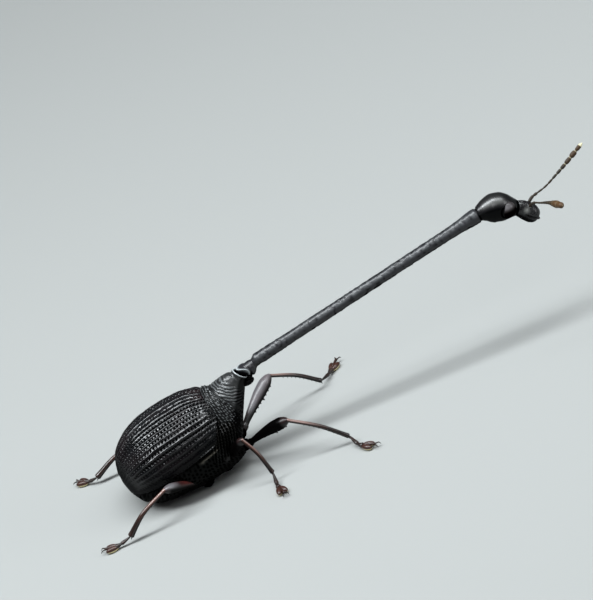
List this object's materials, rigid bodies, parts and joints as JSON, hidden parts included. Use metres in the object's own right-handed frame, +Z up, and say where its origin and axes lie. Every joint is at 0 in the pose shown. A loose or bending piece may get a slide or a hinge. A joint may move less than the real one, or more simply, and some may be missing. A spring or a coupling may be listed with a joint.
{
  "type": "giraffe weevil",
  "caption": "Life-size black giraffe weevil with a very long rod-like neck, grooved wing cases, bent snout, beaded feelers and bent clawed legs, standing on its feet.",
  "frame": {"origin": "on the floor, under the middle of the box round the whole animal", "axes": "+X points forward along the neck to the snout, +Y to the animal's left, +Z up"},
  "size_m": [0.031, 0.0118, 0.0082],
  "materials": {
    "wing_case": "glossy black, finely grooved",
    "body_plate": "black, satin, pitted",
    "neck_black": "glossy black, finely wrinkled",
    "eye": "glossy dark grey",
    "leg": "glossy dark red-brown to black",
    "feeler": "satin brown with a pale tip"
  },
  "bodies": {
    "root": {"elytron_left": "wing_case", "elytron_right": "wing_case", "thorax": "body_plate", "abdomen": "body_plate", "prothorax": "body_plate", "neck": "neck_black", "head": "neck_black", "rostrum": "neck_black", "eye_left": "eye", "eye_right": "eye", "antenna_left": "feeler", "antenna_right": "feeler", "leg_front_left": "leg", "leg_front_right": "leg", "leg_middle_left": "leg", "leg_middle_right": "leg", "leg_hind_left": "leg", "leg_hind_right": "leg"}
  },
  "joints": []
}
